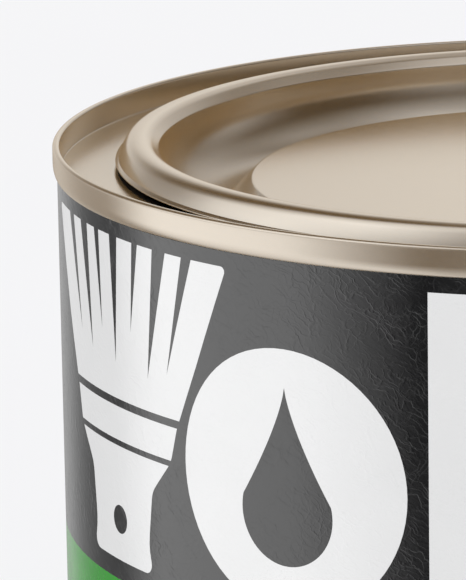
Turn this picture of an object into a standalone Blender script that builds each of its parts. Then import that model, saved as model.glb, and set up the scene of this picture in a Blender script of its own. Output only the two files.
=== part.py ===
"""Lever-lid paint tin: body, seamed-on bottom and neck ring, press-in lid and wrap-around label.

Metres, +Z up. The tin stands on z = 0 and its axis is the Z axis; the label's front faces -Y and
the body's side weld and the label's overlap are at the back, +Y.
"""
import math

import bmesh
import bpy

MM = 0.001

# --- driving dimensions, mm --------------------------------------------------------------------
TIN_HEIGHT = 130.0          # over both seams
SEAM_R = 55.20              # outside of both double seams
SEAM_HEIGHT = 2.87
SEAM_FLAT_IN_R = 54.56      # flat on the crown of each seam, which the tin stands on
SEAM_FLAT_OUT_R = 54.86
SEAM_CROWN_ARC = 0.32       # rounding of the crown's outer edge
CHUCK_R = 54.40             # inside of the wall that the seaming chuck runs in
SHEET = 0.15                # tinplate of the ring and the bottom
SEAM_PANEL_IN_R = 55.03     # inside of the seam's outer wall
SEAM_HOOK_R = 54.86         # edge that returns inwards under the body's flange
BODY_IN_R = 54.57
BODY_SHEET = 0.14
FLANGE_R = 54.98
FLANGE_DROP = 0.76          # from the seam's crown to the flange
FLOOR_DROP = 2.70           # from the seam's crown to the ring's floor
SHOULDER_R = 49.30          # where the floor starts to round over into the neck
SHOULDER_ARC = 5.70         # radius of that rounding, which ends in a 45 degree cone
MOUTH_R = 43.00             # end of the cone
HEM_FOLD = 0.42             # thickness of the cone's folded edge
HEM_LENGTH = 0.90
LID_SHEET = 0.24
PLUG_R = 44.60
COVE_R = 6.10               # inside radius of the lid's quarter-round channel, 0.19 mm clear of the cone
COVE_DROP = 2.15            # its centre, below the seam's crown
LID_CROWN_RISE = 0.39       # above the seam's crown
LID_CROWN_IN_R = 46.09      # centres and radii of the bead's inner and outer shoulder
LID_CROWN_IN_ARC = 1.30
LID_CROWN_OUT_R = 46.54
LID_CROWN_OUT_ARC = 1.50
LIP_R = 48.80
LIP_DROP = 1.80
PANEL_R = 34.75
PANEL_DROP = 4.20
CHANNEL_DROP = 8.25
CHANNEL_IN_R = 38.92
COUNTERSINK = 3.85          # bottom end's groove, above the ground
BOTTOM_PANEL_Z = 2.70
BOTTOM_BEAD_R = 45.70
BOTTOM_BEAD_2_R = 36.20
BOTTOM_BEAD_RISE = 0.40
LABEL_IN_R = 54.76
LABEL_FILM = 0.06
LABEL_EDGE_GAP = 0.10       # label edge to seam
SEGMENTS = 48               # facets round the tin, the same for every piece so that they nest

GOLD = (0.62, 0.50, 0.36, 1.0)
LID_GOLD = (0.64, 0.52, 0.38, 1.0)
TIN = (0.66, 0.64, 0.60, 1.0)


# --- helpers -----------------------------------------------------------------------------------
def clear_scene():
    for obj in list(bpy.data.objects):
        bpy.data.objects.remove(obj, do_unlink=True)
    for mesh in list(bpy.data.meshes):
        bpy.data.meshes.remove(mesh)


def principled(name, colour, roughness, metallic, coat=0.0):
    material = bpy.data.materials.new(name)
    material.use_nodes = True
    shader = material.node_tree.nodes["Principled BSDF"]
    shader.inputs["Base Color"].default_value = colour
    shader.inputs["Roughness"].default_value = roughness
    shader.inputs["Metallic"].default_value = metallic
    shader.inputs["Coat Weight"].default_value = coat
    material.diffuse_color = colour
    return material


def arc(centre_r, centre_z, radius_r, radius_z, start, end, steps):
    """Points on an elliptical arc in the (r, z) half-plane, angles in degrees from +r."""
    points = []
    for i in range(steps + 1):
        angle = math.radians(start + (end - start) * i / steps)
        points.append((centre_r + radius_r * math.cos(angle), centre_z + radius_z * math.sin(angle)))
    return points


def from_top(points):
    """Heights given downwards from the tin's top made heights above the ground."""
    return [(r, TIN_HEIGHT + z) for r, z in points]


def turned(name, outline, material, first=0, steps=SEGMENTS, parent=None):
    """The closed outline (r, z), mm, turned about Z from facet edge `first` over `steps` facets."""
    bm = bmesh.new()
    full = steps == SEGMENTS
    rings = []
    for i in range(steps if full else steps + 1):
        angle = 2 * math.pi * (first + i) / SEGMENTS
        c, s = math.cos(angle), math.sin(angle)
        rings.append([bm.verts.new((r * c * MM, r * s * MM, z * MM)) for r, z in outline])
    count = len(outline)
    for i in range(steps):
        here, there = rings[i], rings[(i + 1) % len(rings)]
        for j in range(count):
            k = (j + 1) % count
            if outline[j][0] == 0 and outline[k][0] == 0:
                continue
            bm.faces.new((here[j], there[j], there[k], here[k]))
    if not full:
        bm.faces.new(list(reversed(rings[0])))
        bm.faces.new(rings[-1])
    bmesh.ops.remove_doubles(bm, verts=bm.verts, dist=1e-7)
    bmesh.ops.recalc_face_normals(bm, faces=bm.faces)
    mesh = bpy.data.meshes.new(name)
    bm.to_mesh(mesh)
    bm.free()
    mesh.materials.append(material)
    mesh.shade_smooth()
    mesh.set_sharp_from_angle(angle=math.radians(35))
    obj = bpy.data.objects.new(name, mesh)
    bpy.context.scene.collection.objects.link(obj)
    if parent is not None:
        obj.parent = parent
    return obj


def empty(name, z):
    obj = bpy.data.objects.new(name, None)
    obj.empty_display_type = "SINGLE_ARROW"
    obj.empty_display_size = 0.02
    obj.location = (0, 0, z * MM)
    bpy.context.scene.collection.objects.link(obj)
    return obj


# --- outlines ----------------------------------------------------------------------------------
def seam_outside():
    """Visible skin of a double seam, from the chuck wall over the crown to the hook, top up."""
    return (
        [(CHUCK_R, -0.30), (CHUCK_R + 0.06, -0.08), (SEAM_FLAT_IN_R, 0.0), (SEAM_FLAT_OUT_R, 0.0)]
        + arc(SEAM_FLAT_OUT_R, -SEAM_CROWN_ARC, SEAM_R - SEAM_FLAT_OUT_R, SEAM_CROWN_ARC, 60, 0, 2)
        + [(SEAM_R, -(SEAM_HEIGHT - 1.05)), (SEAM_R - 0.08, -(SEAM_HEIGHT - 0.38))]
        + [(SEAM_R - 0.20, -(SEAM_HEIGHT - 0.06)), (SEAM_HOOK_R, -SEAM_HEIGHT)]
    )


def seam_inside():
    """Inside of the seam's channel, from the hook back over the flange to the chuck wall."""
    wall = CHUCK_R + SHEET
    return [
        (SEAM_HOOK_R, -(SEAM_HEIGHT - 0.16)),
        (SEAM_PANEL_IN_R - 0.10, -(SEAM_HEIGHT - 0.24)),
        (SEAM_PANEL_IN_R, -(SEAM_HEIGHT - 0.62)),
        (SEAM_PANEL_IN_R, -0.66),
        (SEAM_PANEL_IN_R - 0.11, -0.34),
        (SEAM_PANEL_IN_R - 0.31, -0.20),
        (wall + 0.01, -0.28),
        (wall, -0.50),
    ]


def ring_outline():
    wall = CHUCK_R + SHEET
    under = FLOOR_DROP + SHEET
    centre = -(FLOOR_DROP + SHOULDER_ARC)
    half = math.sqrt(0.5)
    cone_r = SHOULDER_R - SHOULDER_ARC * half
    mouth = -(FLOOR_DROP + SHOULDER_ARC * (1 - half) + cone_r - MOUTH_R)
    fold, back = HEM_FOLD * half, HEM_LENGTH * half
    thin = SHEET * half
    return from_top(
        seam_outside()
        + seam_inside()
        + [(wall, -(under - 0.08)), (wall - 0.10, -under)]
        + arc(SHOULDER_R, centre, SHOULDER_ARC - SHEET, SHOULDER_ARC - SHEET, 90, 135, 4)
        + [(MOUTH_R + back + thin, mouth + back - thin), (MOUTH_R + back + fold, mouth + back - fold)]
        + [(MOUTH_R + fold, mouth - fold), (MOUTH_R, mouth)]
        + arc(SHOULDER_R, centre, SHOULDER_ARC, SHOULDER_ARC, 135, 90, 4)
        + [(CHUCK_R - 0.18, -FLOOR_DROP), (CHUCK_R, -(FLOOR_DROP - 0.18))]
    )


def lid_outline():
    plug_in = PLUG_R - LID_SHEET
    cove_r, cove_z, outer = plug_in - COVE_R, -COVE_DROP, COVE_R + LID_SHEET
    in_z = LID_CROWN_RISE + 0.01 - LID_CROWN_IN_ARC
    out_z = LID_CROWN_RISE - 0.02 - LID_CROWN_OUT_ARC
    in_arc, out_arc = LID_CROWN_IN_ARC, LID_CROWN_OUT_ARC
    top = (
        [(0.0, -PANEL_DROP), (PANEL_R, -PANEL_DROP), (PANEL_R + 0.20, -(PANEL_DROP + 0.08))]
        + [(CHANNEL_IN_R, -(CHANNEL_DROP - 0.03))]
        + arc(cove_r, cove_z, COVE_R, COVE_R, -76, 0, 6)
        + [(plug_in, -0.80), (plug_in + 0.10, -0.66)]
        + arc(LID_CROWN_IN_R, in_z, in_arc, in_arc, 135, 97, 2)
        + arc(LID_CROWN_OUT_R, out_z, out_arc, out_arc, 84, 25, 4)
        + [(LIP_R - 0.39, -1.62), (LIP_R - 0.34, -(LIP_DROP - 0.16))]
        + [(LIP_R, -LIP_DROP)]
    )
    under = (
        [(LIP_R, -(LIP_DROP + 0.14)), (LIP_R - 0.52, -(LIP_DROP + 0.01))]
        + [(LIP_R - 0.61, -1.70)]
        + arc(LID_CROWN_OUT_R, out_z, out_arc - LID_SHEET, out_arc - LID_SHEET, 25, 84, 4)
        + arc(LID_CROWN_IN_R, in_z, in_arc - LID_SHEET, in_arc - LID_SHEET, 97, 135, 2)
        + [(PLUG_R + 0.06, -0.76), (PLUG_R, -0.90)]
        + arc(cove_r, cove_z, outer, outer, 0, -76, 6)
        + [(CHANNEL_IN_R - 0.12, -(CHANNEL_DROP + 0.21)), (PANEL_R - 0.01, -(PANEL_DROP + LID_SHEET))]
        + [(0.0, -(PANEL_DROP + LID_SHEET))]
    )
    return from_top(top + under)


def bottom_outline():
    wall = CHUCK_R + SHEET
    outside = [(r, -z) for r, z in seam_outside()]
    inside = [(r, -z) for r, z in seam_inside()]

    def panel(lift):
        z, bead = BOTTOM_PANEL_Z + lift, BOTTOM_BEAD_RISE
        return [
            (53.00, z),
            (BOTTOM_BEAD_R, z),
            (BOTTOM_BEAD_R - 0.7, z + bead),
            (BOTTOM_BEAD_2_R, z + bead),
            (BOTTOM_BEAD_2_R - 0.7, z),
            (0.0, z),
        ]

    upper = [(wall, COUNTERSINK - 0.30), (54.20, COUNTERSINK + SHEET), (53.30, COUNTERSINK + SHEET)]
    lower = [(53.35, COUNTERSINK - 0.10), (53.85, COUNTERSINK), (CHUCK_R - 0.25, COUNTERSINK - 0.10)]
    return (
        outside
        + inside
        + upper
        + panel(SHEET)
        + list(reversed(panel(0.0)))
        + [(53.20, BOTTOM_PANEL_Z + 0.20)]
        + lower
        + [(CHUCK_R, COUNTERSINK - 0.55)]
    )


def body_outline():
    out = BODY_IN_R + BODY_SHEET
    low, high = FLANGE_DROP, TIN_HEIGHT - FLANGE_DROP
    return [
        (BODY_IN_R, low),
        (FLANGE_R, low),
        (FLANGE_R, low + BODY_SHEET),
        (out, low + BODY_SHEET + 0.05),
        (out, high - BODY_SHEET - 0.05),
        (FLANGE_R, high - BODY_SHEET),
        (FLANGE_R, high),
        (BODY_IN_R, high),
    ]


def compound_outline():
    return [(54.60, -0.71), (54.60, -0.42), (54.72, -0.32), (54.86, -0.40), (54.96, -0.71)]


# --- pieces ------------------------------------------------------------------------------------
def build():
    clear_scene()
    gold = principled("gold_lacquer", GOLD, 0.32, 1.0)
    lid_gold = principled("lid_gold_lacquer", LID_GOLD, 0.32, 1.0)
    bare = principled("tinplate", TIN, 0.38, 1.0)
    film = principled("label_film", (0.012, 0.012, 0.013, 1.0), 0.22, 0.0, 0.4)
    compound = principled("sealing_compound", (0.50, 0.46, 0.40, 1.0), 0.75, 0.0)
    stripe = principled("side_stripe_lacquer", (0.72, 0.70, 0.66, 1.0), 0.45, 0.0)
    glue = principled("label_glue", (0.80, 0.76, 0.62, 1.0), 0.35, 0.0)

    turned("body_shell", body_outline(), bare)
    turned("bottom_end", bottom_outline(), gold)
    turned("top_ring", ring_outline(), gold)
    turned("top_seam_compound", from_top(compound_outline()), compound)
    turned("bottom_seam_compound", [(r, -z) for r, z in compound_outline()], compound)

    label_low, label_high = SEAM_HEIGHT + LABEL_EDGE_GAP, TIN_HEIGHT - SEAM_HEIGHT - LABEL_EDGE_GAP
    turned(
        "label",
        [
            (LABEL_IN_R, label_low),
            (LABEL_IN_R + LABEL_FILM, label_low),
            (LABEL_IN_R + LABEL_FILM, label_high),
            (LABEL_IN_R, label_high),
        ],
        film,
    )
    back = SEGMENTS // 4
    turned(
        "label_lap_adhesive",
        [(54.725, label_low + 1), (54.745, label_low + 1), (54.745, label_high - 1), (54.725, label_high - 1)],
        glue,
        first=back - 1,
        steps=2,
    )
    turned(
        "weld_side_stripe",
        [(54.52, 4.6), (54.55, 4.6), (54.55, TIN_HEIGHT - 3.4), (54.52, TIN_HEIGHT - 3.4)],
        stripe,
        first=back - 1,
        steps=2,
    )

    # The lid slides along the tin's axis out of the ring: its parent stands on that axis, at the
    # height of the ring's floor.
    lift = empty("lid_lift_axis", TIN_HEIGHT - FLOOR_DROP)
    lid = turned("lever_lid", lid_outline(), lid_gold)
    lid.parent = lift
    lid.matrix_parent_inverse = lift.matrix_basis.inverted()


build()
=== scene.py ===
import math

import bmesh
import bpy
import numpy as np
from mathutils import Matrix, Vector
from mathutils.geometry import delaunay_2d_cdt

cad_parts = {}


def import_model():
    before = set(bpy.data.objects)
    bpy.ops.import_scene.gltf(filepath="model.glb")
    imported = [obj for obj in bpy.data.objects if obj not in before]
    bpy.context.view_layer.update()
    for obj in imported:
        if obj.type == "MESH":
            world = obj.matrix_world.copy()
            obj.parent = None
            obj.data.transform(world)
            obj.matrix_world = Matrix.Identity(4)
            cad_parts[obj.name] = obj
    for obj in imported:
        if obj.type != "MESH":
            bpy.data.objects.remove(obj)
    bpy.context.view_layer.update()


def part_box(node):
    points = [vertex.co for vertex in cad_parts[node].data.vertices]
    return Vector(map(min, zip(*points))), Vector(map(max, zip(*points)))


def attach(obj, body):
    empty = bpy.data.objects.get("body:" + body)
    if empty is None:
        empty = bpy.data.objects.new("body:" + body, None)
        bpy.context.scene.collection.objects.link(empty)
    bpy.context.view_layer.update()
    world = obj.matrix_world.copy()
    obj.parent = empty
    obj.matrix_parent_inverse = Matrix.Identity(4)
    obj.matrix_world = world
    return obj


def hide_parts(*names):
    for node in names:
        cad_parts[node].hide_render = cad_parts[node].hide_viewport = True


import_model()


MM = 0.001

# --- heights and radii, mm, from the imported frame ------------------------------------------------
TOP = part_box("top_ring")[1].z / MM            # crown of the top seam
SEAM_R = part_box("top_ring")[1].x / MM         # outside of both seams
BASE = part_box("bottom_end")[0].z / MM

SEGMENTS = 360
SEAM_H = 2.87
CHUCK_R = 54.45
FLOOR = -2.70
LABEL_R = 54.775
FILM = 0.05
BODY_IN_R = 54.57
BODY_OUT_R = 54.70


# --- small geometry helpers ----------------------------------------------------------------------
def fillet_path(points, step=9.0):
    """Corner points (r, z) or (r, z, radius) joined by straight runs, each corner rounded."""
    done = []
    for i, p in enumerate(points):
        radius = p[2] if len(p) > 2 else 0.0
        if i in (0, len(points) - 1) or radius == 0:
            done.append((p[0], p[1]))
            continue
        here = np.array(p[:2], float)
        a = np.array(points[i - 1][:2], float) - here
        b = np.array(points[i + 1][:2], float) - here
        la, lb = np.linalg.norm(a), np.linalg.norm(b)
        a, b = a / la, b / lb
        half = math.acos(max(-1.0, min(1.0, float(a @ b)))) / 2
        if half > math.radians(89.5):
            done.append((p[0], p[1]))
            continue
        reach = min(radius / math.tan(half), 0.495 * la, 0.495 * lb)
        radius = reach * math.tan(half)
        bisector = (a + b) / np.linalg.norm(a + b)
        centre = here + bisector * radius / math.sin(half)
        start, end = here + a * reach - centre, here + b * reach - centre
        a0 = math.atan2(start[1], start[0])
        a1 = math.atan2(end[1], end[0])
        turn = (a1 - a0 + math.pi) % (2 * math.pi) - math.pi
        count = max(2, int(math.ceil(abs(math.degrees(turn)) / step)))
        for k in range(count + 1):
            t = a0 + turn * k / count
            done.append((centre[0] + radius * math.cos(t), centre[1] + radius * math.sin(t)))
    return done


def ellipse(cr, cz, ar, az, start, end, count):
    return [
        (
            cr + ar * math.cos(math.radians(start + (end - start) * i / count)),
            cz + az * math.sin(math.radians(start + (end - start) * i / count)),
        )
        for i in range(count + 1)
    ]


def offset_path(path, distance):
    """The path moved sideways by distance, to its left when walking along it."""
    p = np.array(path, float)
    d = np.gradient(p, axis=0)
    d /= np.maximum(np.linalg.norm(d, axis=1), 1e-12)[:, None]
    return [tuple(q) for q in p + distance * np.stack([-d[:, 1], d[:, 0]], 1)]


def sweep(start, heading, bends, step=0.06):
    """A path that leaves start at heading degrees and bends steadily; bends are (length, heading at its end)."""
    path = [start]
    for length, end in bends:
        count = max(1, int(math.ceil(length / step)))
        if abs(end - heading) < 1e-6:
            count = 1
        count = max(count, int(math.ceil(abs(end - heading) / 5.0)))
        for i in range(count):
            a = math.radians(heading + (end - heading) * (i + 0.5) / count)
            r, z = path[-1]
            path.append((r + math.cos(a) * length / count, z + math.sin(a) * length / count))
        heading = end
    return path


def thin_out(path, least=0.004):
    kept = [path[0]]
    for p in path[1:]:
        if math.hypot(p[0] - kept[-1][0], p[1] - kept[-1][1]) > least:
            kept.append(p)
    return kept


def new_object(name, mesh, materials):
    obj = bpy.data.objects.new(name, mesh)
    bpy.context.scene.collection.objects.link(obj)
    for m in materials:
        mesh.materials.append(m)
    return obj


def shade_lined(path):
    """Marks the points of an outline after which the skin takes the near-black lining, painted shade for hollows out
    of the light.
    """
    return [(p[0], p[1], 1) for p in path]


def turned(name, outline, material, segments=SEGMENTS, z0=0.0, sharp=40.0, span=None, shade_lining=None):
    """A closed outline (r, z) in mm turned about Z, or over the angles span in degrees."""
    outline = thin_out(list(outline))
    if math.hypot(outline[0][0] - outline[-1][0], outline[0][1] - outline[-1][1]) < 0.004:
        outline.pop()
    full = span is None
    first, last = (0.0, 360.0) if full else span
    rows = segments if full else segments + 1
    angles = np.radians(first + (last - first) * np.arange(rows) / segments)
    o = np.array([p[:2] for p in outline], float)
    n = len(o)
    co = np.zeros((rows, n, 3))
    co[:, :, 0] = np.cos(angles)[:, None] * o[None, :, 0]
    co[:, :, 1] = np.sin(angles)[:, None] * o[None, :, 0]
    co[:, :, 2] = o[None, :, 1] + z0
    index = np.arange(rows * n).reshape(rows, n)
    faces, kinds = [], []
    for i in range(segments):
        here, there = index[i], index[(i + 1) % rows]
        for j in range(n):
            k = (j + 1) % n
            if o[j, 0] < 1e-6 and o[k, 0] < 1e-6:
                continue
            faces.append((here[j], there[j], there[k], here[k]))
            # faces after marked points take the near-black lining, which is painted shade
            kinds.append(1 if shade_lining is not None and len(outline[j]) > 2 else 0)
    if not full:
        faces.append(tuple(index[0][::-1]))
        faces.append(tuple(index[-1]))
        kinds += [0, 0]
    mesh = bpy.data.meshes.new(name)
    mesh.from_pydata((co.reshape(-1, 3) * MM).tolist(), [], [tuple(int(x) for x in f) for f in faces])
    mesh.polygons.foreach_set("material_index", np.array(kinds, np.int32))
    bm = bmesh.new()
    bm.from_mesh(mesh)
    bmesh.ops.remove_doubles(bm, verts=bm.verts, dist=1e-7)
    bmesh.ops.recalc_face_normals(bm, faces=bm.faces)
    bm.to_mesh(mesh)
    bm.free()
    mesh.shade_smooth()
    mesh.set_sharp_from_angle(angle=math.radians(sharp))
    return new_object(name, mesh, [material] if shade_lining is None else [material, shade_lining])


# --- material helpers ----------------------------------------------------------------------------
class Graph:
    """Short-hand for building a material's nodes."""

    def __init__(self, name):
        self.material = bpy.data.materials.new(name)
        self.material.use_nodes = True
        self.tree = self.material.node_tree
        self.shader = self.tree.nodes["Principled BSDF"]

    def node(self, kind, **settings):
        made = self.tree.nodes.new(kind)
        for key, value in settings.items():
            setattr(made, key, value)
        return made

    def link(self, a, b):
        self.tree.links.new(a, b)

    def put(self, socket, value):
        if hasattr(value, "is_linked"):
            self.link(value, socket)
        else:
            socket.default_value = value

    def math(self, operation, a, b=None, c=None, clamp=False):
        n = self.node("ShaderNodeMath", operation=operation, use_clamp=clamp)
        for i, v in enumerate((a, b, c)):
            if v is not None:
                self.put(n.inputs[i], v)
        return n.outputs[0]

    def noise(self, vector, scale, detail=2.0, rough=0.5, lacunarity=2.0, distortion=0.0, dims="3D"):
        n = self.node("ShaderNodeTexNoise", noise_dimensions=dims)
        self.link(vector, n.inputs["Vector"])
        n.inputs["Scale"].default_value = scale
        n.inputs["Detail"].default_value = detail
        n.inputs["Roughness"].default_value = rough
        n.inputs["Lacunarity"].default_value = lacunarity
        n.inputs["Distortion"].default_value = distortion
        return n

    def ramp(self, value, stops, interpolation="LINEAR"):
        n = self.node("ShaderNodeValToRGB")
        n.color_ramp.interpolation = interpolation
        elements = n.color_ramp.elements
        while len(elements) < len(stops):
            elements.new(0.5)
        for e, (at, colour) in zip(elements, stops):
            e.position = at
            e.color = colour if len(colour) == 4 else (*colour, 1.0)
        self.link(value, n.inputs[0])
        return n.outputs[0]

    def mix(self, factor, a, b, mode="MIX"):
        n = self.node("ShaderNodeMix", data_type="RGBA", blend_type=mode)
        self.put(n.inputs[0], factor)
        self.put(n.inputs[6], a)
        self.put(n.inputs[7], b)
        return n.outputs[2]

    def bump(self, height, distance, strength=1.0, normal=None):
        n = self.node("ShaderNodeBump")
        n.inputs["Strength"].default_value = strength
        n.inputs["Distance"].default_value = distance
        self.link(height, n.inputs["Height"])
        if normal is not None:
            self.link(normal, n.inputs["Normal"])
        return n.outputs["Normal"]

    def mapping(self, vector, scale=(1, 1, 1), rotation=(0, 0, 0), location=(0, 0, 0)):
        n = self.node("ShaderNodeMapping")
        self.link(vector, n.inputs["Vector"])
        n.inputs["Location"].default_value = location
        n.inputs["Rotation"].default_value = rotation
        n.inputs["Scale"].default_value = scale
        return n.outputs["Vector"]


def gold_lacquer(name, base=(0.36, 0.212, 0.078), roughness=0.20):
    """Satin gold lacquer on tinplate: a brown body under a strong clear reflection, finely speckled."""
    g = Graph(name)
    where = g.node("ShaderNodeTexCoord").outputs["Object"]
    cloud = g.noise(where, 38.0, 3.0, 0.55).outputs["Fac"]
    speckle = g.noise(where, 3300.0, 2.0, 0.6).outputs["Fac"]
    grain = g.noise(where, 1500.0, 3.0, 0.65).outputs["Fac"]
    low = tuple(c * 0.97 for c in base)
    high = tuple(c * 1.03 for c in base)
    body = g.ramp(cloud, [(0.30, low), (0.70, high)])
    body = g.mix(g.ramp(speckle, [(0.36, (0, 0, 0)), (0.64, (1, 1, 1))]), body, tuple(c * 1.10 for c in base) + (1.0,))
    g.link(body, g.shader.inputs["Base Color"])
    rough = g.math("MULTIPLY_ADD", grain, 0.06, roughness - 0.045)
    g.link(g.math("MULTIPLY_ADD", cloud, 0.03, rough), g.shader.inputs["Roughness"])
    g.link(g.bump(grain, 0.000004, 0.35), g.shader.inputs["Normal"])
    g.shader.inputs["IOR"].default_value = 9.8
    g.shader.inputs["Specular Tint"].default_value = (1.0, 0.950, 0.864, 1.0)
    return g.material


def bare_tinplate(name):
    g = Graph(name)
    where = g.node("ShaderNodeTexCoord").outputs["Object"]
    streak = g.noise(g.mapping(where, scale=(1.0, 1.0, 0.02)), 900.0, 3.0, 0.6).outputs["Fac"]
    cloud = g.noise(where, 60.0, 3.0, 0.6).outputs["Fac"]
    g.link(g.ramp(cloud, [(0.3, (0.60, 0.58, 0.53)), (0.7, (0.70, 0.68, 0.63))]), g.shader.inputs["Base Color"])
    g.shader.inputs["Metallic"].default_value = 1.0
    g.link(g.math("MULTIPLY_ADD", streak, 0.22, 0.24), g.shader.inputs["Roughness"])
    g.link(g.bump(streak, 0.000008, 0.5), g.shader.inputs["Normal"])
    return g.material


def matt(name, low, high, scale, roughness, bump=0.00002):
    g = Graph(name)
    where = g.node("ShaderNodeTexCoord").outputs["Object"]
    cloud = g.noise(where, scale, 4.0, 0.6).outputs["Fac"]
    fine = g.noise(where, scale * 12, 3.0, 0.6).outputs["Fac"]
    g.link(g.ramp(cloud, [(0.3, low), (0.7, high)]), g.shader.inputs["Base Color"])
    g.link(g.math("MULTIPLY_ADD", fine, 0.15, roughness - 0.07), g.shader.inputs["Roughness"])
    g.link(g.bump(fine, bump, 0.6), g.shader.inputs["Normal"])
    return g.material


def film(name, low, high, ior=2.1, roughness=0.14, crease=1.0):
    """Printed glossy film, drawn tight over the tin, with fine slanting creases."""
    g = Graph(name)
    flat = g.node("ShaderNodeAttribute", attribute_name="unrolled").outputs["Vector"]  # mm along, mm up
    where = g.node("ShaderNodeTexCoord").outputs["Object"]
    wander = g.noise(flat, 0.45, 3.0, 0.55).outputs["Color"]
    pushed = g.node("ShaderNodeVectorMath", operation="MULTIPLY_ADD")
    g.link(wander, pushed.inputs[0])
    pushed.inputs[1].default_value = (2.6, 2.6, 2.6)
    g.link(flat, pushed.inputs[2])

    def leaning(vector, degrees, squash, shift=(0, 0, 0)):
        """Turned first and squashed after, so that a pattern stretches along a slanting line."""
        turned_first = g.mapping(vector, rotation=(0, 0, math.radians(degrees)), location=shift)
        return g.mapping(turned_first, scale=(1.0, squash, 1.0))

    def crests(degrees, squash, scale, width, shift, amount, low_cut, high_cut):
        cells = g.node("ShaderNodeTexVoronoi", feature="DISTANCE_TO_EDGE", voronoi_dimensions="2D")
        g.link(leaning(pushed.outputs[0], degrees, squash, shift), cells.inputs["Vector"])
        cells.inputs["Scale"].default_value = scale
        crest = g.ramp(cells.outputs["Distance"], [(0.0, (1, 1, 1)), (width, (0, 0, 0))], "EASE")
        patch = g.ramp(g.noise(g.mapping(flat, location=shift), 0.30, 3.0, 0.6).outputs["Fac"], [(low_cut, (0, 0, 0)), (high_cut, (1, 1, 1))])
        return g.math("MULTIPLY", g.math("MULTIPLY", crest, patch), amount)

    height = crests(-52, 0.36, 1.00, 0.13, (3, 9, 0), 1.0, 0.44, 0.60)
    height = g.math("ADD", height, crests(-64, 0.30, 1.45, 0.12, (41, 5, 0), 0.7, 0.40, 0.58))
    height = g.math("ADD", height, crests(38, 0.45, 1.25, 0.12, (17, 33, 0), 0.6, 0.47, 0.62))
    wave = g.noise(leaning(flat, -54, 0.35), 1.7, 3.0, 0.55).outputs["Fac"]
    height = g.math("MULTIPLY_ADD", wave, 1.1, height)
    g.link(g.bump(height, 0.000011 * crease, 1.0), g.shader.inputs["Normal"])
    g.link(g.ramp(g.noise(where, 120.0, 3.0, 0.6).outputs["Fac"], [(0.3, low), (0.7, high)]), g.shader.inputs["Base Color"])
    smear = g.noise(where, 90.0, 4.0, 0.6).outputs["Fac"]
    g.link(g.math("MULTIPLY_ADD", smear, 0.06, roughness - 0.03), g.shader.inputs["Roughness"])
    g.shader.inputs["IOR"].default_value = ior
    return g.material


# --- materials -----------------------------------------------------------------------------------
RING_GOLD = gold_lacquer("ring_gold")
LID_GOLD = gold_lacquer("lid_gold")
BASE_GOLD = gold_lacquer("base_gold")
TINPLATE = bare_tinplate("tinplate")
COMPOUND = matt("sealing_compound", (0.40, 0.37, 0.31), (0.52, 0.48, 0.41), 300.0, 0.75)
STRIPE = matt("stripe_lacquer", (0.62, 0.60, 0.55), (0.74, 0.72, 0.67), 200.0, 0.42)
GLUE = matt("label_glue", (0.70, 0.66, 0.50), (0.82, 0.78, 0.62), 250.0, 0.35)
BLACK = film("film_black", (0.0035, 0.0035, 0.0040), (0.0050, 0.0050, 0.0056), crease=0.75)
WHITE = film("film_white", (0.895, 0.895, 0.895), (0.92, 0.92, 0.92), crease=0.6)
GREEN = film("film_green", (0.013, 0.31, 0.007), (0.019, 0.36, 0.011), crease=0.8)
# near-black lining: painted shade, laid on skins under the lid and inside the can so those hollows read dark
SHADE_LINING = matt("painted_shade_lining", (0.020, 0.014, 0.009), (0.034, 0.024, 0.015), 90.0, 0.55, 0.000008)
FILM_BACK = matt("film_back", (0.70, 0.70, 0.70), (0.78, 0.78, 0.78), 200.0, 0.5)


# --- metal pieces --------------------------------------------------------------------------------
def seam_skin():
    """Visible skin of a double seam in heights below its crown: hook, outer wall, crown, chuck wall."""
    r = SEAM_R
    return (
        [(r - 0.34, -(SEAM_H - 0.14)), (r - 0.32, -SEAM_H + 0.02)]
        + ellipse(r - 0.34, -(SEAM_H - 1.05), 0.34, 1.05, -88, 0, 22)
        + [(r, -1.5), (r - 0.003, -0.8)]
        + ellipse(r - 0.40, -0.34, 0.397, 0.34, 0, 90, 14)
        + ellipse(r - 0.40, -0.26, r - 0.40 - CHUCK_R, 0.26, 90, 180, 10)[1:]
    )


def seam_core():
    """Inside of the seam's channel, from the chuck wall's outer side round to the hook."""
    r = SEAM_R
    return [
        (CHUCK_R + 0.10, -2.4),
        (CHUCK_R + 0.10, -0.35),
        (CHUCK_R + 0.16, -0.20),
        (r - 0.45, -0.20),
        (r - 0.22, -0.34),
        (r - 0.15, -0.66),
        (r - 0.15, -(SEAM_H - 0.70)),
        (r - 0.24, -(SEAM_H - 0.30)),
        (r - 0.34, -(SEAM_H - 0.20)),
    ]


# the lid's channel is one quarter-round cove, and the ring's neck is the cone that it seats in
COVE_R = 6.10
COVE_Z = -2.15
PLUG_IN_R = 44.36
LID_SHEET = 0.24


def ring():
    sheet = 0.10
    # flat floor, round shoulder, cone down to the mouth
    slope = sweep((49.30, FLOOR), 180, [(4.5 * math.radians(20), 200), (8.25 * math.radians(25), 225), (2.47, 225)])
    end = slope[-1]
    hem = sweep(end, 225, [(0.42, 315), (0.30, 405), (0.65, 405)], 0.08)[1:]
    top = (
        seam_skin()
        + fillet_path([(CHUCK_R, -0.3), (CHUCK_R, FLOOR, 0.15), (49.40, FLOOR)])
        + slope
        + hem
    )
    back = offset_path(slope, sheet)
    inner = offset_path(hem, sheet)
    under = [p for p in reversed(inner)] + [p for p in reversed(back)]
    under += [(CHUCK_R - 0.1, FLOOR - sheet)]
    # from under the lip inwards the ring carries the near-black lining on both its faces, painted shade for the gap
    # under the lid
    start = next(i for i, p in enumerate(top) if i > 40 and p[0] < 48.70 and p[1] < FLOOR)
    top = top[:start] + shade_lined(top[start:])
    return turned("ring", top + shade_lined(under) + [(CHUCK_R + 0.10, FLOOR - sheet + 0.12)] + seam_core(), RING_GOLD, z0=TOP, shade_lining=SHADE_LINING)


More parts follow.
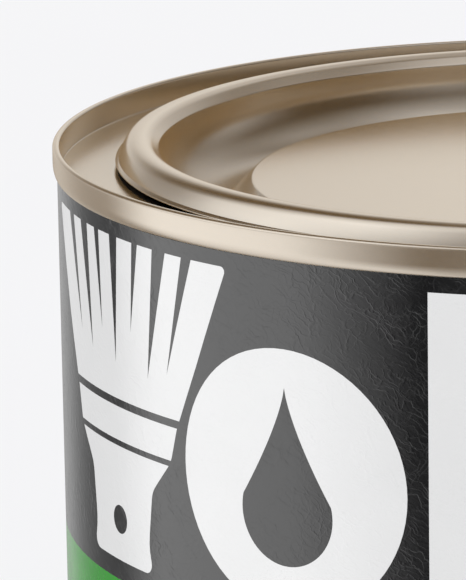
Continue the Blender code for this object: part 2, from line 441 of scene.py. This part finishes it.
def lid():
    sheet = LID_SHEET
    centre = PLUG_IN_R - COVE_R
    cove = [
        (centre + COVE_R * math.sin(math.radians(t)), COVE_Z - COVE_R * math.cos(math.radians(t)))
        for t in np.linspace(12, 90, 32)
    ]
    path = (
        fillet_path([(0.0, -4.20), (34.92, -4.20, 0.35), (38.92, -8.22, 0.10), cove[0]])[:-1]
        + cove
        + fillet_path([(PLUG_IN_R, -1.4), (PLUG_IN_R, -0.79, 0.20), (44.60, -0.545)], 8.0)
        # the bead: up its inner side, over the crown, then the steeper outer side down to the lip
        + sweep(
            (44.60, -0.545),
            45,
            [(0.62, 45), (0.38, 30), (0.36, 18), (0.36, 9), (0.40, 0), (0.40, -10), (0.485, -27), (0.33, -45), (0.50, -60), (1.285, -66)],
        )[1:]
    )
    r, z = path[-1]
    path += fillet_path([(r, z), (r + 0.05, z - 0.13, 0.07), (48.78, -1.87)], 12.0)[1:]
    under = list(reversed(offset_path(path, -sheet * 0.96)))
    under[-1] = (0.0, -4.20 - sheet)
    tip = [(48.81, -1.92), (48.82, -1.98), (48.77, -2.05)]
    # the lid's underside carries the near-black lining: painted shade under the bead and inside the can
    return turned("lid", path + tip + shade_lined(under), LID_GOLD, z0=TOP, shade_lining=SHADE_LINING)


def bottom():
    sheet = 0.15
    skin = [(r, -z) for r, z in seam_skin()]
    core = [(r, -z) for r, z in seam_core()]
    path = fillet_path(
        [
            (CHUCK_R, 0.3),
            (CHUCK_R, 3.80, 0.45),
            (53.55, 3.80, 0.40),
            (53.35, 2.70, 0.35),
            (45.9, 2.70, 0.5),
            (45.3, 3.10, 0.5),
            (36.6, 3.10, 0.5),
            (36.0, 2.70, 0.5),
            (0.0, 2.70),
        ]
    )
    over = list(reversed(offset_path(path[1:], -sheet)))
    over[0] = (0.0, 2.70 + sheet)
    # the inside face of the base carries the near-black lining: painted shade inside the can
    return turned("base", skin + path[1:] + shade_lined(over) + core, BASE_GOLD, shade_lining=SHADE_LINING)


def body():
    low, high = 0.76, TOP - 0.76
    outline = (
        [(BODY_IN_R, low), (54.98, low), (54.98, low + 0.13), (BODY_OUT_R, low + 0.2)]
        + [(BODY_OUT_R, z) for z in np.linspace(4.0, TOP - 4.0, 7)]
        + [(BODY_OUT_R, high - 0.2), (54.98, high - 0.13), (54.98, high), (BODY_IN_R, high)]
        + [(BODY_IN_R, z) for z in np.linspace(TOP - 4.0, 4.0, 7)]
    )
    shell = turned("shell", outline, TINPLATE)
    # the welded overlap stands a little proud inside, at the back
    weld = turned(
        "weld",
        [(BODY_IN_R - 0.07, 4.4), (BODY_IN_R - 0.05, 4.3), (BODY_IN_R + 0.02, 4.3), (BODY_IN_R + 0.02, TOP - 3.2), (BODY_IN_R - 0.05, TOP - 3.2), (BODY_IN_R - 0.07, TOP - 3.3)],
        TINPLATE,
        segments=4,
        span=(89.6, 90.4),
    )
    return shell, weld


def seam_filler(name, flip):
    outline = fillet_path(
        [(54.60, -0.71), (54.60, -0.42, 0.05), (54.70, -0.31, 0.05), (54.84, -0.38, 0.08), (54.93, -0.60, 0.05), (54.94, -0.71)]
    )
    if flip:
        return turned(name, [(r, -z) for r, z in outline], COMPOUND, segments=180)
    return turned(name, outline, COMPOUND, segments=180, z0=TOP)


# --- label ---------------------------------------------------------------------------------------
LABEL_LOW = SEAM_H + 0.08
LABEL_HIGH = TOP - SEAM_H - 0.08
HALF = math.pi * LABEL_R
LAP = 10.0
CAP = TOP - 4.45            # top of the artwork
FOOT = TOP - 37.15          # its foot
BAND = TOP - 39.2           # where the green starts


def circle(cu, cv, radius, count=72, start=0.0, end=360.0):
    return [
        (cu + radius * math.cos(math.radians(a)), cv + radius * math.sin(math.radians(a)))
        for a in np.linspace(start, end, count, endpoint=end - start < 359.9)
    ]


def droplet(cu, cv, radius, height, count=48):
    """A paint drop: a round foot at (cu, cv) drawn up to a point height above its centre."""
    contact = math.degrees(math.asin(radius / height))
    low = circle(cu, cv, radius, count, 180 - contact * 0.55, 360 + contact * 0.55)
    tip = (cu, cv + height)
    right = low[-1]
    sides = []
    for i in range(1, 12):
        t = i / 12
        w = (1 - t) ** 1.35
        sides.append((cu + (right[0] - cu) * w, right[1] + (tip[1] - right[1]) * t))
    back = [(2 * cu - u, v) for u, v in reversed(sides)]
    return low + sides + [tip] + back


def rounded_box(u0, u1, v0, v1, radius):
    middle = (u0 + u1) / 2
    return fillet_path(
        [(middle, v1), (u0, v1, radius), (u0, v0, radius), (u1, v0, radius), (u1, v1, radius), (middle, v1)], 7.5
    )[:-1]


def brush(cu, side):
    """A flat paint brush standing on its handle: (outline, colour) shapes about the line cu."""
    def at(u, v, *radius):
        return (cu + side * u, CAP + v, *radius)

    drop = FOOT - CAP
    body = fillet_path(
        [
            at(0, 0), at(-18.0, 0, 0.5), at(-13.6, -10.5, 4.0), at(-10.6, -17.2, 0.8), at(-9.6, -20.6, 3.0), at(-6.4, -24.2, 2.5),
            at(-5.6, -30.0, 6.0), at(-6.4, drop, 2.2), at(6.4, drop, 2.2), at(5.6, -30.0, 6.0), at(6.4, -24.2, 2.5),
            at(9.6, -20.6, 3.0), at(10.6, -17.2, 0.8), at(13.6, -10.5, 4.0), at(18.0, 0, 0.5), at(0, 0),
        ],
        10.0,
    )[:-1]
    shapes = [(body, 1)]
    # the bristles part in tapering gaps
    for top, width, foot, depth in (
        (0.3, 1.7, 0.2, -12.6), (-12.6, 1.5, -9.2, -12.0), (12.2, 1.7, 9.0, -11.2), (-8.3, 2.2, -6.0, -13.0),
        (7.9, 2.0, 5.8, -12.4), (-4.1, 1.1, -3.0, -9.0), (4.3, 1.2, 3.2, -9.8),
    ):
        shapes.append(([at(top - width / 2, 0.4), at(foot, depth), at(top + width / 2, 0.4)], 0))
    # the metal band's two edges and the handle's hole
    shapes.append(([at(-12.2, -16.2), at(-12.2, -17.0), at(12.2, -17.0), at(12.2, -16.2)], 0))
    shapes.append(([at(-11.0, -20.4), at(-11.0, -21.0), at(11.0, -21.0), at(11.0, -20.4)], 0))
    shapes.append((circle(cu, CAP + drop + 4.2, 1.45, 32), 0))
    return shapes


def roller(cu):
    """A paint roller on its wire frame, in black."""
    wire = 0.62
    return [
        (rounded_box(cu - 9.4, cu + 7.4, CAP - 13.0, CAP - 5.6, 1.3), 0),
        ([(cu + 7.2, CAP - 9.3 - wire), (cu + 10.6 + wire, CAP - 9.3 - wire), (cu + 10.6 + wire, CAP - 9.3 + wire), (cu + 7.2, CAP - 9.3 + wire)], 0),
        ([(cu + 10.6 - wire, CAP - 17.0), (cu + 10.6 + wire, CAP - 17.0), (cu + 10.6 + wire, CAP - 9.3), (cu + 10.6 - wire, CAP - 9.3)], 0),
        ([(cu - wire, CAP - 17.0 - wire), (cu + 10.6 + wire, CAP - 17.0 - wire), (cu + 10.6 + wire, CAP - 17.0 + wire), (cu - wire, CAP - 17.0 + wire)], 0),
        ([(cu - wire, CAP - 21.0), (cu + wire, CAP - 21.0), (cu + wire, CAP - 17.0), (cu - wire, CAP - 17.0)], 0),
        (rounded_box(cu - 1.9, cu + 1.9, CAP - 30.2, CAP - 20.6, 1.4), 0),
    ]


def artwork():
    """(outline, colour) in painting order; colours: 0 black, 1 white, 2 green."""
    shapes = []
    whole = HALF + LAP + 1
    shapes.append(([(-whole, LABEL_LOW - 1), (whole, LABEL_LOW - 1), (whole, BAND), (-whole, BAND)], 2))
    shapes.append(([(-whole, LABEL_LOW - 1), (whole, LABEL_LOW - 1), (whole, 17.0), (-whole, 17.0)], 0))
    shapes.append(([(-whole, 17.0), (whole, 17.0), (whole, 18.4), (-whole, 18.4)], 1))
    # the same face is printed at the front and at the back
    for middle in (-HALF, 0.0, HALF):
        shapes.append(([(middle - 15.2, FOOT), (middle + 15.2, FOOT), (middle + 15.2, CAP), (middle - 15.2, CAP)], 1))
        if middle == 0.0:
            shapes += roller(middle)
        for side in (-1, 1):
            shapes += brush(middle + side * 55.0, side)
            disc = middle + side * 30.2
            shapes.append((circle(disc, FOOT + 12.9, 12.9), 1))
            shapes.append((droplet(disc, FOOT + 9.9, 5.2, 12.2), 0))
    return shapes


def inside(points, polygon):
    """Which of the points lie in the polygon, by the even-odd rule."""
    x, y = points[:, 0], points[:, 1]
    result = np.zeros(len(points), bool)
    p = np.array(polygon, float)
    q = np.roll(p, -1, axis=0)
    for (x0, y0), (x1, y1) in zip(p, q):
        if y0 == y1:
            continue
        crossing = ((y0 > y) != (y1 > y)) & (x < (x1 - x0) * (y - y0) / (y1 - y0) + x0)
        result ^= crossing
    return result


def label():
    u0, u1 = -HALF, HALF + LAP
    columns = int(round((u1 - u0) / 1.45))
    verts, edges = [], []

    def add_chain(points, closed):
        start = len(verts)
        verts.extend(Vector(p) for p in points)
        for i in range(len(points) - 1):
            edges.append((start + i, start + i + 1))
        if closed:
            edges.append((start + len(points) - 1, start))

    def clip(polygon):
        """The polygon cut to the label's rectangle."""
        for axis, limit, keep_above in ((0, u0, True), (0, u1, False), (1, LABEL_LOW, True), (1, LABEL_HIGH, False)):
            out = []
            for a, b in zip(polygon, polygon[1:] + polygon[:1]):
                ia = (a[axis] >= limit) if keep_above else (a[axis] <= limit)
                ib = (b[axis] >= limit) if keep_above else (b[axis] <= limit)
                if ia:
                    out.append(a)
                if ia != ib:
                    t = (limit - a[axis]) / (b[axis] - a[axis])
                    cut = [a[0] + t * (b[0] - a[0]), a[1] + t * (b[1] - a[1])]
                    cut[axis] = limit
                    out.append(tuple(cut))
            polygon = out
            if not polygon:
                return []
        return polygon

    shapes = []
    for outline, colour in artwork():
        cut = clip([tuple(map(float, p)) for p in outline])
        if len(cut) > 2:
            shapes.append((cut, colour))
            add_chain(cut, True)
    for i in range(columns + 1):
        u = u0 + (u1 - u0) * i / columns
        add_chain([(u, LABEL_LOW), (u, LABEL_HIGH)], False)
    add_chain([(u0, LABEL_LOW), (u1, LABEL_LOW), (u1, LABEL_HIGH), (u0, LABEL_HIGH)], True)
    flat, _, tris, *_ = delaunay_2d_cdt(verts, edges, [], 0, 1e-5)
    flat = np.array([tuple(p) for p in flat], float)
    tris = [tuple(t) for t in tris]
    area = [
        0.5 * ((flat[t[1], 0] - flat[t[0], 0]) * (flat[t[2], 1] - flat[t[0], 1]) - (flat[t[2], 0] - flat[t[0], 0]) * (flat[t[1], 1] - flat[t[0], 1]))
        for t in tris
    ]
    tris = [t if a > 0 else t[::-1] for t, a in zip(tris, area) if abs(a) > 1e-7]
    centres = np.array([flat[list(t)].mean(0) for t in tris])
    colour = np.zeros(len(tris), int)
    for outline, c in shapes:
        colour[inside(centres, outline)] = c

    # up to the back the film lies on the tin, then it climbs over its own first edge
    rise = np.clip((flat[:, 0] - (HALF - 5.0)) / 4.0, 0, 1)
    radius = LABEL_R + (rise * rise * (3 - 2 * rise)) * (FILM + 0.006)
    angle = flat[:, 0] / LABEL_R
    outward = np.stack([np.sin(angle), -np.cos(angle), np.zeros(len(flat))], 1)
    outer = outward * radius[:, None]
    outer[:, 2] = flat[:, 1]
    inner = outward * (radius - FILM)[:, None]
    inner[:, 2] = flat[:, 1]
    count = len(flat)
    faces = list(tris) + [tuple(i + count for i in reversed(t)) for t in tris]
    material = list(colour) + [3] * len(tris)
    seen = {}
    for t in tris:
        for a, b in zip(t, t[1:] + t[:1]):
            seen[(a, b)] = seen.get((a, b), 0) + 1
    rim = [(a, b) for a, b in seen if (b, a) not in seen]
    faces += [(b, a, a + count, b + count) for a, b in rim]
    material += [3] * len(rim)
    mesh = bpy.data.meshes.new("label_film")
    mesh.from_pydata((np.vstack([outer, inner]) * MM).tolist(), [], [tuple(int(i) for i in f) for f in faces])
    mesh.polygons.foreach_set("material_index", np.array(material, np.int32))
    mesh.shade_smooth()
    normals = np.zeros((len(mesh.loops), 3), np.float32)
    for polygon in mesh.polygons:
        for loop in polygon.loop_indices:
            v = mesh.loops[loop].vertex_index
            if polygon.index < len(tris):
                normals[loop] = outward[v]
            elif polygon.index < 2 * len(tris):
                normals[loop] = -outward[v - count]
            else:
                normals[loop] = polygon.normal
    attribute = mesh.attributes.new("unrolled", "FLOAT_VECTOR", "POINT")
    both = np.vstack([flat, flat])
    attribute.data.foreach_set("vector", np.column_stack([both, np.zeros(len(both))]).astype(np.float32).reshape(-1))
    mesh.normals_split_custom_set([tuple(map(float, n)) for n in normals])
    return new_object("label_film", mesh, [BLACK, WHITE, GREEN, FILM_BACK])


def glue_strip():
    return turned(
        "glue_strip",
        [(BODY_OUT_R + 0.006, LABEL_LOW + 1.2), (BODY_OUT_R + 0.020, LABEL_LOW + 1.2), (BODY_OUT_R + 0.020, LABEL_HIGH - 1.2), (BODY_OUT_R + 0.006, LABEL_HIGH - 1.2)],
        GLUE,
        segments=12,
        span=(85.0, 97.0),
    )


def side_stripe():
    """The lacquer strip over the weld, with slightly wandering edges."""
    rng = np.random.default_rng(7)
    rows, columns = 60, 15
    z = np.linspace(4.6, TOP - 3.4, rows)
    left = -6.2 + 0.18 * np.convolve(rng.standard_normal(rows + 6), np.ones(7) / 7, "valid")
    right = 6.2 + 0.18 * np.convolve(rng.standard_normal(rows + 6), np.ones(7) / 7, "valid")
    bm = bmesh.new()
    grid = {}
    for i in range(rows):
        for j in range(columns):
            t = j / (columns - 1)
            arc = left[i] * (1 - t) + right[i] * t
            edge = min(t, 1 - t)
            swell = 0.055 * math.exp(-((arc / 0.55) ** 2))
            thick = 0.012 + 0.018 * min(1.0, edge * 8) + swell
            a = math.pi / 2 + arc / BODY_IN_R
            for k, r in enumerate((BODY_IN_R - 0.004, BODY_IN_R - 0.004 - thick)):
                grid[i, j, k] = bm.verts.new((r * math.cos(a) * MM, r * math.sin(a) * MM, z[i] * MM))
    for i in range(rows - 1):
        for j in range(columns - 1):
            for k in (0, 1):
                bm.faces.new([grid[i, j, k], grid[i + 1, j, k], grid[i + 1, j + 1, k], grid[i, j + 1, k]])
    for i in range(rows - 1):
        for j in (0, columns - 1):
            bm.faces.new([grid[i, j, 0], grid[i + 1, j, 0], grid[i + 1, j, 1], grid[i, j, 1]])
    for j in range(columns - 1):
        for i in (0, rows - 1):
            bm.faces.new([grid[i, j, 0], grid[i, j + 1, 0], grid[i, j + 1, 1], grid[i, j, 1]])
    bmesh.ops.recalc_face_normals(bm, faces=bm.faces)
    mesh = bpy.data.meshes.new("side_stripe")
    bm.to_mesh(mesh)
    bm.free()
    mesh.shade_smooth()
    mesh.set_sharp_from_angle(angle=math.radians(50))
    return new_object("side_stripe", mesh, [STRIPE])


# --- assembly ------------------------------------------------------------------------------------
ring_piece = ring()
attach(ring_piece, "can")
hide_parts("top_ring")

lid_piece = lid()
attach(lid_piece, "lid")
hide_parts("lever_lid")

base_piece = bottom()
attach(base_piece, "can")
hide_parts("bottom_end")

shell_piece, weld_piece = body()
for piece in (shell_piece, weld_piece):
    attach(piece, "can")
    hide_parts("body_shell")

label_piece = label()
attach(label_piece, "can")
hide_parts("label")

glue_piece = glue_strip()
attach(glue_piece, "can")
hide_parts("label_lap_adhesive")

stripe_piece = side_stripe()
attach(stripe_piece, "can")
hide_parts("weld_side_stripe")

for node, flip in (("top_seam_compound", False), ("bottom_seam_compound", True)):
    filler = seam_filler(node + "_fill", flip)
    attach(filler, "can")
    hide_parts(node)


# --- floor, light, camera ------------------------------------------------------------------------
def floor():
    g = Graph("floor_pale")
    where = g.node("ShaderNodeTexCoord").outputs["Object"]
    n = g.noise(where, 3.0, 3.0, 0.5).outputs["Fac"]
    g.link(g.ramp(n, [(0.3, (0.915, 0.915, 0.93)), (0.7, (0.92, 0.92, 0.935))]), g.shader.inputs["Base Color"])
    g.shader.inputs["Roughness"].default_value = 0.9
    g.shader.inputs["Specular IOR Level"].default_value = 0.0
    mesh = bpy.data.meshes.new("floor")
    side = 40.0
    mesh.from_pydata([(-side, -side, 0), (side, -side, 0), (side, side, 0), (-side, side, 0)], [], [(0, 1, 2, 3)])
    obj = new_object("floor", mesh, [g.material])
    obj.location.z = BASE * MM - 0.00005
    obj.visible_glossy = False
    return obj


AZ = (-180, -155, -135, -120, -105, -85, -65, -50, -35, -20, 0, 20, 40, 65, 90, 115, 140, 160, 180)   # degrees round from the front, right is plus
EL = (-90, -40, -13, 5, 22, 42, 65, 90)   # degrees above the horizon
GLOSS = [
    [0.43] * 19,
    [0.36, 0.36, 0.23, 0.27, 0.59, 0.72, 0.84, 0.85, 0.46, 0.49, 0.36, 0.30, 0.27, 0.25, 0.25, 0.28, 0.30, 0.34, 0.36],
    [0.46, 0.66, 0.30, 0.20, 1.14, 1.10, 1.03, 0.45, 0.00, 0.14, 0.17, 0.18, 0.17, 0.08, 0.09, 0.21, 0.25, 0.36, 0.46],
    [0.92, 0.75, 0.39, 0.48, 0.76, 0.70, 0.58, 0.54, 0.36, 0.06, 0.00, 0.13, 0.27, 0.00, 0.00, 0.37, 0.09, 0.52, 0.92],
    [0.86, 0.23, 0.02, 0.18, 0.99, 1.19, 0.78, 0.37, 0.07, 0.00, 0.00, 0.10, 0.08, 0.00, 0.00, 0.04, 0.29, 0.55, 0.86],
    [0.30, 0.00, 0.00, 0.00, 0.52, 1.09, 1.24, 0.98, 0.52, 0.29, 0.22, 0.22, 0.32, 0.31, 0.20, 0.31, 0.13, 0.56, 0.30],
    [0.17, 0.00, 0.01, 0.14, 0.42, 0.69, 0.82, 0.77, 0.58, 0.39, 0.29, 0.27, 0.44, 0.77, 0.50, 0.00, 0.31, 0.31, 0.17],
    [0.40] * 19,
]
AZ_SOFT = (-180, -90, 0, 90, 180)
EL_SOFT = (-90, 0, 90)
SOFT = [
    [0.99] * 5,
    [1.00, 1.08, 0.99, 0.93, 1.00],
    [1.00] * 5,
]


def world():
    """A round studio, read from the tables: soft boxes at both sides and overhead, dark gaps between."""
    w = bpy.data.worlds.new("studio")
    bpy.context.scene.world = w
    w.use_nodes = True
    tree = w.node_tree
    tree.nodes.clear()

    def node(kind, **settings):
        made = tree.nodes.new(kind)
        for key, value in settings.items():
            setattr(made, key, value)
        return made

    def calc(operation, first, second=None, clamp=False):
        n = node("ShaderNodeMath", operation=operation, use_clamp=clamp)
        for socket, value in zip(n.inputs, (first, second)):
            if value is None:
                continue
            if hasattr(value, "is_linked"):
                tree.links.new(value, socket)
            else:
                socket.default_value = value
        return n.outputs[0]

    split = node("ShaderNodeSeparateXYZ")
    tree.links.new(node("ShaderNodeTexCoord").outputs["Generated"], split.inputs[0])
    x, y, z = split.outputs
    around = calc("ADD", calc("DIVIDE", calc("ARCTAN2", x, calc("MULTIPLY", y, -1.0)), 2 * math.pi), 0.5)
    above = calc("ARCSINE", calc("MINIMUM", calc("MAXIMUM", z, -1.0), 1.0))

    def sky(name, azimuths, elevations, table):
        """Brightness between the table's rows and columns, straight from one to the next."""
        result = None
        for i, (elevation, row) in enumerate(zip(elevations, table)):
            ramp = node("ShaderNodeValToRGB", name=f"{name}_{i}")
            ramp.color_ramp.interpolation = "LINEAR"
            elements = ramp.color_ramp.elements
            while len(elements) < len(azimuths):
                elements.new(0.5)
            for e, azimuth, value in zip(elements, azimuths, row):
                e.position = azimuth / 360 + 0.5
                e.color = (value, value, value, 1)
            tree.links.new(around, ramp.inputs[0])
            if result is None:
                result = ramp.outputs[0]
                continue
            low = math.radians(elevations[i - 1])
            gap = math.radians(elevation) - low
            share = calc("DIVIDE", calc("SUBTRACT", above, low), gap, clamp=True)
            mix = node("ShaderNodeMix", data_type="RGBA")
            tree.links.new(share, mix.inputs[0])
            tree.links.new(result, mix.inputs[6])
            tree.links.new(ramp.outputs[0], mix.inputs[7])
            result = mix.outputs[2]
        return result

    pattern = node("ShaderNodeBackground", name="gloss")
    tree.links.new(sky("gloss", AZ, EL, GLOSS), pattern.inputs[0])
    even = node("ShaderNodeBackground", name="soft")
    tree.links.new(sky("soft", AZ_SOFT, EL_SOFT, SOFT), even.inputs[0])
    pale = node("ShaderNodeBackground", name="seen")
    pale.inputs[0].default_value = (0.92, 0.92, 0.935, 1)
    path = node("ShaderNodeLightPath")
    soft = node("ShaderNodeMixShader")
    tree.links.new(path.outputs["Is Diffuse Ray"], soft.inputs[0])
    tree.links.new(pattern.outputs[0], soft.inputs[1])
    tree.links.new(even.outputs[0], soft.inputs[2])
    seen = node("ShaderNodeMixShader")
    tree.links.new(path.outputs["Is Camera Ray"], seen.inputs[0])
    tree.links.new(soft.outputs[0], seen.inputs[1])
    tree.links.new(pale.outputs[0], seen.inputs[2])
    out = node("ShaderNodeOutputWorld")
    tree.links.new(seen.outputs[0], out.inputs[0])
    w.cycles.sampling_method = "NONE"


def camera():
    data = bpy.data.cameras.new("camera")
    obj = bpy.data.objects.new("camera", data)
    bpy.context.scene.collection.objects.link(obj)
    data.sensor_width = 36.0
    data.sensor_fit = "AUTO"
    data.lens = 4482.5 / 580.0 * 36.0
    data.clip_start = 0.01
    data.clip_end = 200.0
    spot = Vector((0.0, -450.58, TOP + 89.89)) * MM
    yaw, pitch, roll = math.radians(4.713), math.radians(13.269), math.radians(-0.971)
    ahead = Vector((-math.sin(yaw) * math.cos(pitch), math.cos(yaw) * math.cos(pitch), -math.sin(pitch)))
    right = Vector((math.cos(yaw), math.sin(yaw), 0.0))
    up = right.cross(ahead)
    right, up = (
        math.cos(roll) * right + math.sin(roll) * up,
        -math.sin(roll) * right + math.cos(roll) * up,
    )
    turn = Matrix((right, up, -ahead)).transposed()
    obj.matrix_world = Matrix.Translation(spot) @ turn.to_4x4()
    bpy.context.scene.camera = obj


floor()
world()
camera()
bpy.context.scene.view_settings.view_transform = "Standard"
